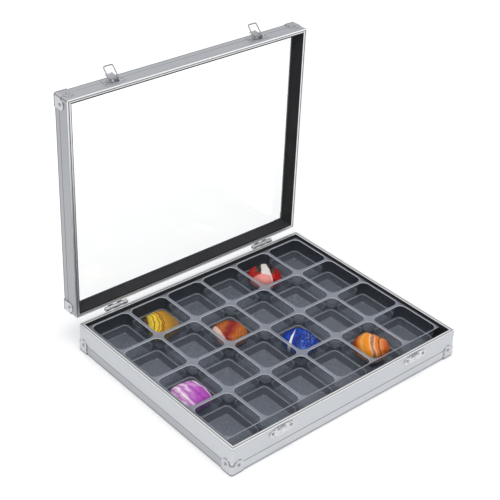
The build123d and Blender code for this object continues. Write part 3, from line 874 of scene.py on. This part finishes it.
class SPECIMEN_OT_tray(bpy.types.Operator):
    """Form the tray from one sheet with a grid of cells"""

    bl_idname = "specimen.tray"
    bl_label = "Tray"

    def execute(self, context):
        form = context.scene.tray_form
        low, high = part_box("tray")
        ridge_half = form.ridge / 2
        grid_low = Vector((low.x + form.edge - ridge_half, low.y + form.front_edge - ridge_half))
        grid_high = Vector((high.x - form.edge + ridge_half, high.y - form.edge + ridge_half))
        pitch = ((grid_high.x - grid_low.x) / form.columns, (grid_high.y - grid_low.y) / form.rows)
        depth = high.z - low.z - form.sheet
        middle = (grid_low + grid_high) / 2
        values = {
            "Columns": form.columns,
            "Rows": form.rows,
            "Length": pitch[0] * (form.columns - 1),
            "Width": pitch[1] * (form.rows - 1),
            "Join Distance": 0.01 * MM,
            "Place": (middle.x, middle.y, high.z),
            "Material": smoky_plastic("smoky_plastic", form, low.z, high.z),
        }
        tile = show(cell_tile(form, pitch, depth), "cell_tile", smooth=False)
        mesh = run_tree(tile, cell_grid_tree(), values)
        work = bmesh.new()
        work.from_mesh(mesh)
        near = 0.05 * MM
        for vertex in work.verts:
            if vertex.co.z > high.z - near:
                for axis in range(2):
                    if vertex.co[axis] < grid_low[axis] + near:
                        vertex.co[axis] = low[axis]
                    if vertex.co[axis] > grid_high[axis] - near:
                        vertex.co[axis] = high[axis]
        bmesh.ops.recalc_face_normals(work, faces=work.faces)
        upward = sum(face.normal.z * face.calc_area() for face in work.faces)
        if upward < 0:
            bmesh.ops.reverse_faces(work, faces=work.faces)
        work.to_mesh(mesh)
        work.free()
        sheet = show(mesh, "tray_sheet")
        thick = sheet.modifiers.new("sheet", "SOLIDIFY")
        thick.thickness = form.sheet
        thick.offset = -1.0
        thick.use_even_offset = True
        piece = show(plain_mesh(sheet), "formed_tray")
        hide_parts("tray")
        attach(piece, "tray")
        return {"FINISHED"}


# ---- the stones ----
def tumbled(name, squareness, top_squareness, tilt, facet, lumps, seed, groove=None):
    """A tumbled stone inside the CAD stone's box: a rounded block with a worn facet and soft lumps."""
    low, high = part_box(name)
    facet_wear = 0.85
    groove_place = 0.35
    facing, facet_distance = Vector(facet[0]).normalized(), facet[1]
    work = bmesh.new()
    bmesh.ops.create_icosphere(work, subdivisions=6, radius=1.0)
    for vertex in work.verts:
        way = vertex.co.normalized()
        flat = (abs(way.x) ** squareness + abs(way.y) ** squareness) ** (1 / squareness)
        reach = (flat**top_squareness + abs(way.z) ** top_squareness) ** (-1 / top_squareness)
        place = way * reach
        over = place.dot(facing) - facet_distance
        if over > 0:
            place -= facing * over * facet_wear
        coarse = noise.noise(way * 1.6 + Vector((seed, 0, 0)))
        small = noise.noise(way * 3.4 + Vector((0, seed, 0)))
        place *= 1 + lumps * (coarse * 0.6 + small * 0.25)
        if groove:
            direction, width, sunk = groove
            away = abs(place.dot(Vector(direction).normalized()) - groove_place)
            place *= 1 - sunk * math.exp(-((away / width) ** 2)) * max(0.0, way.z + 0.3)
        vertex.co = place
    about_x, about_y = [Matrix.Rotation(math.radians(angle), 3, axis) for angle, axis in zip(tilt, "XY")]
    bmesh.ops.rotate(work, verts=work.verts, matrix=about_x @ about_y)
    lows, highs = reach_of(work.verts)
    for vertex in work.verts:
        for axis in range(3):
            share = (vertex.co[axis] - lows[axis]) / (highs[axis] - lows[axis])
            vertex.co[axis] = low[axis] + share * (high[axis] - low[axis])
    bmesh.ops.recalc_face_normals(work, faces=work.faces)
    return mesh_from(work, name)


def polished(name, colour, sunk=0.0):
    """A polished stone's material, fed by a colour made with its own nodes, and a little lit from within."""
    material, tree, shader = new_material(name)
    wear = grain_of(tree, 8 * MM, detail=3.0)
    set_inputs(tree, shader, {
        "Base Color": colour(tree),
        "Roughness": level(tree, wear, 0.3, 0.7, 0.10, 0.20),
        "Specular IOR Level": 0.3,
        "IOR": 1.33,
        "Coat Weight": 0.08,
        "Coat Roughness": 0.04,
    })
    if sunk:
        radius = (3 * MM, 1.4 * MM, 0.8 * MM)
        deep = {"Subsurface Weight": sunk, "Subsurface Radius": radius, "Subsurface Scale": 1.0}
        set_inputs(tree, shader, deep)
    bump(tree, shader, grain_of(tree, 5 * MM, detail=3.0), 0.05, 0.3 * MM)
    return material


def bands(tree, vector, scale, distortion, direction="X"):
    """Wavy bands."""
    inputs = {"Vector": vector, "Scale": scale, "Distortion": distortion, "Detail": 3.0, "Detail Scale": 1.2}
    node = add_node(tree, "ShaderNodeTexWave", inputs, wave_type="BANDS", bands_direction=direction)
    return node.outputs["Fac"]


def stone_axes(tree, name):
    """The stone's pattern space, about 1 at its sides, turned across the cell: its vector and three axes."""
    low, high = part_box(name)
    half = (high.x - low.x) / 2
    turn = (0, 0, PATTERN_TURN)
    vector = object_pattern(tree, place=(low + high) / 2, scale=[half] * 3, turn=turn)
    return (vector, *axes_of(tree, vector))


def wobble(tree, vector, scale, amount, detail=3.0):
    """A soft random value between about minus and plus half the amount."""
    return times(tree, maths(tree, "SUBTRACT", noise_of(tree, vector, scale, detail=detail), 0.5), amount)


def yellow_bands(tree):
    """Bright yellow to amber brown, with thin dark curved lines across it."""
    vector, along, away, _ = stone_axes(tree, "specimen_yellow_banded")
    bend = times(tree, away, away)
    shake = wobble(tree, vector, 2.2, 0.16)
    line = total(tree, (along, 0.46), (away, 0.18), (bend, 0.12), shake, 0.42)
    body = ramp(tree, line, [
        (0.02, (0.05, 0.03, 0.01)), (0.07, (0.62, 0.40, 0.03)), (0.17, (0.84, 0.60, 0.04)),
        (0.20, (0.14, 0.06, 0.01)), (0.23, (0.85, 0.60, 0.04)), (0.30, (0.86, 0.58, 0.03)),
        (0.325, (0.10, 0.04, 0.01)), (0.35, (0.82, 0.50, 0.02)), (0.40, (0.78, 0.42, 0.02)),
        (0.425, (0.07, 0.03, 0.01)), (0.45, (0.66, 0.33, 0.02)), (0.475, (0.10, 0.04, 0.01)),
        (0.52, (0.62, 0.30, 0.015)), (0.62, (0.46, 0.22, 0.012)), (0.80, (0.26, 0.14, 0.018)),
        (0.93, (0.24, 0.13, 0.06)),
    ])
    silk = level(tree, noise_of(tree, vector, 9.0, detail=3.0), 0.45, 0.75, 0.0, 0.45)
    return mix_colour(tree, silk, body, (0.30, 0.14, 0.01))


def red_and_white(tree):
    """Black and brown at the top, a white wedge that widens to pink, and red at both sides."""
    vector, along, away, up = stone_axes(tree, "specimen_red_white")
    shake = wobble(tree, vector, 2.0, 0.5)
    red_cloud = noise_of(tree, vector, 3.0, detail=4.0)
    red = ramp(tree, red_cloud, [(0.35, (0.30, 0.008, 0.006)), (0.65, (0.56, 0.018, 0.012))])
    brown_cloud = noise_of(tree, vector, 3.5, detail=4.0)
    brown = ramp(tree, brown_cloud, [(0.40, (0.012, 0.008, 0.008)), (0.62, (0.11, 0.05, 0.03))])
    sides = strip(tree, along, 0.02, 0.62, 0.08)
    top = times(tree, level(tree, total(tree, away, (shake, 0.5)), -0.42, -0.34), sides)
    middle = total(tree, (away, -0.18), (shake, 0.25), 0.02)
    wedge = strip(tree, along, middle, total(tree, (away, -0.13), 0.24), 0.03)
    front = level(tree, total(tree, away, (shake, 0.4)), -0.50, -0.58)
    left = level(tree, total(tree, along, (away, 0.25), (shake, 0.3)), 0.30, 0.22)
    return layered(
        tree,
        red,
        (top, brown),
        (wedge, (0.78, 0.72, 0.68)),
        (times(tree, front, left), (0.84, 0.30, 0.27)),
        (times(tree, level(tree, up, -0.1, -0.5), left), (0.52, 0.40, 0.40)),
    )


def carnelian_bands(tree):
    """Orange brown with a deep red middle and a pale pink crescent at one side."""
    vector, along, away, up = stone_axes(tree, "specimen_carnelian")
    across = total(tree, (along, 0.5), (away, -0.14), wobble(tree, vector, 1.6, 0.30), 0.5)
    body = ramp(tree, across, [
        (0.05, (0.40, 0.10, 0.015)), (0.25, (0.50, 0.14, 0.015)), (0.38, (0.36, 0.05, 0.010)),
        (0.47, (0.24, 0.010, 0.012)), (0.56, (0.30, 0.018, 0.012)), (0.66, (0.40, 0.05, 0.010)),
        (0.78, (0.55, 0.16, 0.018)), (0.95, (0.42, 0.12, 0.015)),
    ])
    streaks = level(tree, bands(tree, vector, 1.6, 2.2), 0.2, 0.9, 0.0, 0.35)
    side = total(tree, (along, 0.87), (away, 0.50), wobble(tree, vector, 1.2, 0.2))
    foot = times(tree, level(tree, up, -0.05, -0.45), level(tree, along, 0.0, 0.5))
    return layered(
        tree,
        body,
        (streaks, (0.20, 0.015, 0.008)),
        (level(tree, side, -0.66, -0.74), (0.86, 0.58, 0.50)),
        (level(tree, side, -0.92, -1.02), (0.40, 0.30, 0.32)),
        (foot, (0.34, 0.28, 0.07)),
    )


def blue_veins(tree):
    """Deep blue with a white wedge, a pale shoulder line and pale gold flecks."""
    vector, along, away, _ = stone_axes(tree, "specimen_blue_veined")
    cloud = noise_of(tree, vector, 2.6, detail=6.0, roughness=0.7, distortion=0.8)
    body = ramp(tree, cloud, [
        (0.34, (0.002, 0.010, 0.10)), (0.50, (0.003, 0.030, 0.30)), (0.64, (0.006, 0.085, 0.55)),
    ])
    flecks = level(tree, noise_of(tree, vector, 7.5, detail=3.0, roughness=0.65), 0.575, 0.63)
    shore = total(tree, along, (away, -0.35), wobble(tree, vector, 1.5, 0.5))
    golden = times(tree, flecks, level(tree, shore, -0.05, 0.30), 0.8)
    line = total(tree, (along, 0.963), (away, -0.268), wobble(tree, vector, 4.0, 0.08))
    vein = strip(tree, line, -0.43, total(tree, (away, -0.075), 0.05), 0.02)
    return layered(tree, body, (golden, (0.30, 0.36, 0.30)), (vein, (0.86, 0.86, 0.88)))


def purple_swirls(tree):
    """Purple and magenta swirls with white streaks at the left and a white band at the right."""
    vector, along, away, up = stone_axes(tree, "specimen_purple_banded")
    shake = wobble(tree, vector, 1.3, 0.9, detail=4.0)
    body = ramp(tree, total(tree, (along, -0.22), (away, 0.20), shake, 0.42), [
        (0.10, (0.30, 0.035, 0.36)), (0.30, (0.46, 0.085, 0.50)), (0.48, (0.58, 0.17, 0.60)),
        (0.60, (0.70, 0.34, 0.70)), (0.72, (0.62, 0.22, 0.62)), (0.90, (0.78, 0.48, 0.74)),
    ])
    left_side = total(tree, along, (away, 0.5), wobble(tree, vector, 1.8, 1.0))
    blush = times(tree, level(tree, left_side, 0.15, -0.75), 0.75)
    swirl = bands(tree, vector, 0.85, 6.0, direction="DIAGONAL")
    left = level(tree, total(tree, along, (away, 0.35)), 0.12, -0.25)
    streak = times(tree, level(tree, swirl, 0.80, 0.93), left)
    edge = total(tree, (along, 0.62), (away, 0.62), wobble(tree, vector, 2.0, 0.25))
    return layered(
        tree,
        body,
        (blush, (0.80, 0.52, 0.76)),
        (streak, (0.90, 0.80, 0.88)),
        (times(tree, level(tree, swirl, 0.16, 0.04), 0.6), (0.25, 0.02, 0.30)),
        (strip(tree, edge, 0.66, 0.05, 0.03), (0.90, 0.82, 0.90)),
        (level(tree, up, -0.1, -0.5, 0.0, 0.7), (0.34, 0.28, 0.36)),
    )


def orange_swirls(tree):
    """Orange with a curved brown band between pale edges, and a dark fold at one side."""
    vector, along, away, up = stone_axes(tree, "specimen_orange_banded")
    bend = maths(tree, "SINE", times(tree, away, 3.4))
    shake = wobble(tree, vector, 1.5, 0.22)
    across = total(tree, (along, 0.5), (away, 0.05), (bend, -0.06), shake, 0.5)
    body = ramp(tree, across, [
        (0.02, (0.42, 0.07, 0.012)), (0.14, (0.78, 0.24, 0.018)), (0.24, (0.86, 0.44, 0.10)),
        (0.27, (0.84, 0.27, 0.015)), (0.40, (0.88, 0.31, 0.02)), (0.43, (0.88, 0.62, 0.42)),
        (0.455, (0.70, 0.22, 0.03)), (0.50, (0.36, 0.17, 0.09)), (0.55, (0.55, 0.24, 0.11)),
        (0.575, (0.88, 0.60, 0.42)), (0.61, (0.82, 0.23, 0.03)), (0.70, (0.76, 0.17, 0.02)),
        (0.725, (0.07, 0.012, 0.008)), (0.76, (0.86, 0.32, 0.09)), (0.90, (0.66, 0.14, 0.03)),
    ])
    foot = times(tree, level(tree, up, 0.1, -0.15), level(tree, across, 0.40, 0.55), 0.7)
    left = times(tree, level(tree, up, -0.1, -0.4), level(tree, across, 0.50, 0.35), 0.8)
    return layered(tree, body, (foot, (0.82, 0.45, 0.34)), (left, (0.30, 0.10, 0.015)))


class SPECIMEN_OT_stones(bpy.types.Operator):
    """Shape and colour the six polished stones"""

    bl_idname = "specimen.stones"
    bl_label = "Stones"

    def execute(self, context):
        # kind, colour, light within, squareness from above and the side, tilt, facet, lumps, seed, groove
        stones = (
            ("yellow_banded", yellow_bands, 0.0, 4.5, 4.5, (2, -3), ((0.1, -0.2, 1), 0.86), 0.05, 3.1),
            ("red_white", red_and_white, 0.0, 2.5, 2.4, (4, 3), ((0.5, -0.6, 0.6), 0.95), 0.08, 7.7),
            ("carnelian", carnelian_bands, 0.0, 2.7, 2.8, (-3, 2), ((0.2, -0.3, 1), 0.85), 0.06, 1.9),
            ("blue_veined", blue_veins, 0.0, 2.5, 2.6, (3, -2), ((0, -0.2, 1), 0.9), 0.05, 5.3),
            ("purple_banded", purple_swirls, 0.15, 3.2, 2.8, (-2, 4), ((-0.3, -0.3, 1), 0.9), 0.06, 9.2),
            ("orange_banded", orange_swirls, 0.1, 2.6, 2.4, (3, 2), ((0.6, 0.2, 0.7), 0.9), 0.08, 4.4,
             ((0.9, -0.4, 0.1), 0.07, 0.10)),
        )
        for kind, colour, sunk, *shape in stones:
            name = f"specimen_{kind}"
            piece = show(tumbled(name, *shape), f"stone_{kind}", polished(f"stone_{kind}", colour, sunk))
            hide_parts(name)
            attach(piece, name)
        return {"FINISHED"}


# ---- the stage ----
def backdrop_rays(tree):
    """The light path's outputs, and a mask of the rays that see the backdrop: from eye, metal and glass."""
    rays = add_node(tree, "ShaderNodeLightPath").outputs
    return rays, highest(tree, *[rays[f"Is {kind} Ray"] for kind in ("Camera", "Glossy", "Transmission")])


def soft_sky(strength):
    """A white backdrop for the eye and glass, a studio for metal, and a softer light for the rest."""
    world = bpy.data.worlds.new("studio")
    world.use_nodes = True
    tree = world.node_tree
    tree.nodes.clear()
    rays, backdrop = backdrop_rays(tree)
    # what metal mirrors, from below to overhead: a pale floor, a dim room at the sides and a bright soft box
    generated = add_node(tree, "ShaderNodeTexCoord").outputs["Generated"]
    studio = ramp(tree, level(tree, axes_of(tree, generated)[2], -1.0, 1.0), [
        (0.30, (0.50, 0.50, 0.51)), (0.50, (0.62, 0.62, 0.63)), (0.60, (0.26, 0.265, 0.275)),
        (0.70, (0.60, 0.61, 0.62)), (0.765, (0.86, 0.865, 0.875)), (0.92, (0.95, 0.95, 0.96)),
    ])
    mirrored = mix_colour(tree, rays["Is Glossy Ray"], (1.0, 1.0, 1.0), studio)
    seen = add_node(tree, "ShaderNodeBackground", {"Color": mirrored})
    soft = add_node(tree, "ShaderNodeBackground", {"Color": (0.97, 0.98, 1.0, 1), "Strength": strength})
    sides = {"Fac": backdrop, 1: soft.outputs[0], 2: seen.outputs[0]}
    mix = add_node(tree, "ShaderNodeMixShader", sides)
    add_node(tree, "ShaderNodeOutputWorld", {"Surface": mix.outputs[0]})
    bpy.context.scene.world = world


def pale_floor():
    """A wide pale floor that keeps the case's shadow and fades to white away from it; its glow is weaker
    near the case, a painted shadow round it.
    """
    material, tree, shader = new_material("pale_floor")
    _, seen = backdrop_rays(tree)
    place = object_pattern(tree)
    distance = add_node(tree, "ShaderNodeVectorMath", {0: place}, operation="LENGTH").outputs["Value"]
    set_inputs(tree, shader, {
        "Base Color": (0.80, 0.80, 0.80, 1.0),
        "Roughness": 0.9,
        "Specular IOR Level": 0.1,
        "Emission Color": (1, 1, 1, 1),
        # painted shadow: the glow is weaker within 0.2 to 0.6 m of the middle, round the case
        "Emission Strength": times(tree, seen, level(tree, distance, 0.20, 0.60, 0.34, 0.50)),
    })
    work = bmesh.new()
    bmesh.ops.create_grid(work, x_segments=1, y_segments=1, size=6.0)
    floor = show(mesh_from(work, "floor"), "floor", material, smooth=False)


def soft_lamp(name, place, target, size, power):
    """A square soft lamp that faces a point."""
    light = bpy.data.lights.new(name, "AREA")
    light.shape = "SQUARE"
    light.size = size
    light.energy = power
    lamp = bpy.data.objects.new(name, light)
    lamp.location = place
    lamp.rotation_euler = (Vector(place) - Vector(target)).to_track_quat("Z", "Y").to_euler()
    bpy.context.scene.collection.objects.link(lamp)


def camera_at(stage):
    """A camera at its place, looking along its azimuth and elevation."""
    data = bpy.data.cameras.new("camera")
    data.lens = stage.lens
    data.sensor_width = 36.0
    camera = bpy.data.objects.new("camera", data)
    aim = Euler((math.pi / 2 - stage.elevation, 0.0, stage.azimuth)).to_matrix().to_4x4()
    roll = Matrix.Rotation(stage.roll, 4, "Z")
    camera.matrix_world = Matrix.Translation(stage.camera_place) @ aim @ roll
    bpy.context.scene.collection.objects.link(camera)
    bpy.context.scene.camera = camera


class SPECIMEN_OT_stage(bpy.types.Operator):
    """Set the floor, the soft lights and the camera"""

    bl_idname = "specimen.stage"
    bl_label = "Stage"

    def execute(self, context):
        stage = context.scene.stage_setup
        context.scene.view_settings.view_transform = "Standard"
        soft_sky(stage.sky_strength)
        pale_floor()
        soft_lamp("overhead", place=(-0.2, -0.3, 1.6), target=(0, 0, 0.1), size=1.2, power=stage.lamp_power)
        camera_at(stage)
        return {"FINISHED"}


class SPECIMEN_PT_panel(bpy.types.Panel):
    """Lists the specimen box's settings and pieces in the sidebar"""

    bl_idname = "SPECIMEN_PT_panel"
    bl_label = "Specimen Box"
    bl_space_type = "VIEW_3D"
    bl_region_type = "UI"
    bl_category = "Specimen Box"

    def draw(self, context):
        for group in (getattr(context.scene, name) for name in GROUPS):
            box = self.layout.box()
            for name in group.bl_rna.properties.keys():
                if name not in ("rna_type", "name"):
                    box.prop(group, name)
        for operator in OPERATORS:
            self.layout.operator(operator.bl_idname)


GROUPS = {"case_finish": CaseFinish, "tray_form": TrayForm, "stage_setup": StageSetup}
OPERATORS = (
    SPECIMEN_OT_stage,
    SPECIMEN_OT_case,
    SPECIMEN_OT_pane,
    SPECIMEN_OT_fittings,
    SPECIMEN_OT_rivets,
    SPECIMEN_OT_tray,
    SPECIMEN_OT_stones,
)
CLASSES = (*GROUPS.values(), *OPERATORS, SPECIMEN_PT_panel)


def register():
    """Registers the classes and puts the settings on the scene."""
    for item in CLASSES:
        bpy.utils.register_class(item)
    for name, group in GROUPS.items():
        setattr(bpy.types.Scene, name, bpy.props.PointerProperty(type=group))


def unregister():
    """Takes the settings and the classes away again."""
    for name in GROUPS:
        delattr(bpy.types.Scene, name)
    for item in reversed(CLASSES):
        bpy.utils.unregister_class(item)


def main():
    """Builds every piece in order."""
    register()
    bpy.ops.specimen.stage()
    bpy.ops.specimen.case()
    bpy.ops.specimen.pane()
    bpy.ops.specimen.fittings()
    bpy.ops.specimen.rivets()
    bpy.ops.specimen.tray()
    bpy.ops.specimen.stones()


if __name__ == "__main__":
    main()
